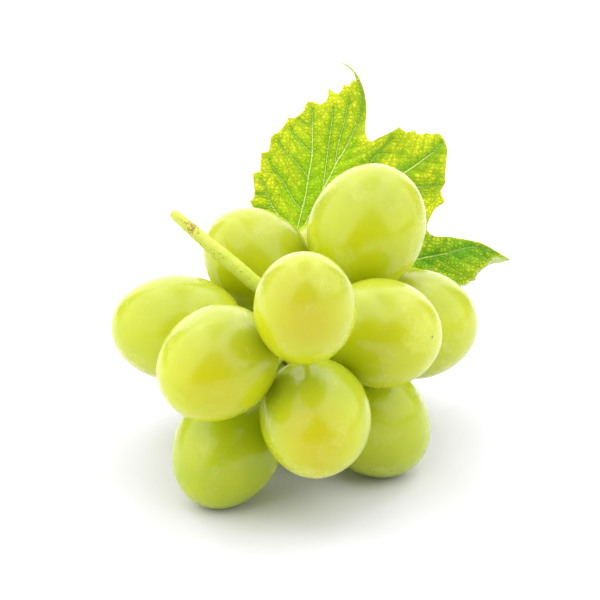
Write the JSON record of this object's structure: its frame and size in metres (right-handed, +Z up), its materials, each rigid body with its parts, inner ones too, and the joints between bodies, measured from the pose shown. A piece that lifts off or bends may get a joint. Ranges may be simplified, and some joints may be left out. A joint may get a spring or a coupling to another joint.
{
  "type": "bunch of grapes",
  "caption": "Small bunch of green table grapes on a branched stalk, lying on a surface, with one lobed vine leaf behind it.",
  "frame": {"origin": "middle of the footprint of the whole bunch with its leaf, on the surface that it lies on", "axes": "+Z up, +Y from the front berries to the leaf behind them, +X to the right as seen from the front"},
  "size_m": [0.082, 0.1068, 0.0666],
  "materials": {
    "grape_skin": "satin, slightly translucent, with a thin bloom",
    "green_stalk": "matte, fine lengthwise ridges and brown specks",
    "leaf": "satin, veined, yellower between the veins near the edge"
  },
  "bodies": {
    "root": {"berry_01": "grape_skin", "berry_02": "grape_skin", "berry_03": "grape_skin", "berry_04": "grape_skin", "berry_05": "grape_skin", "berry_06": "grape_skin", "berry_07": "grape_skin", "berry_08": "grape_skin", "berry_09": "grape_skin", "berry_10": "grape_skin", "berry_11": "grape_skin", "berry_12": "grape_skin", "berry_13": "grape_skin", "berry_14": "grape_skin", "berry_15": "grape_skin", "berry_16": "grape_skin", "bunch_stem": "green_stalk", "vine_leaf": "leaf"}
  },
  "joints": []
}
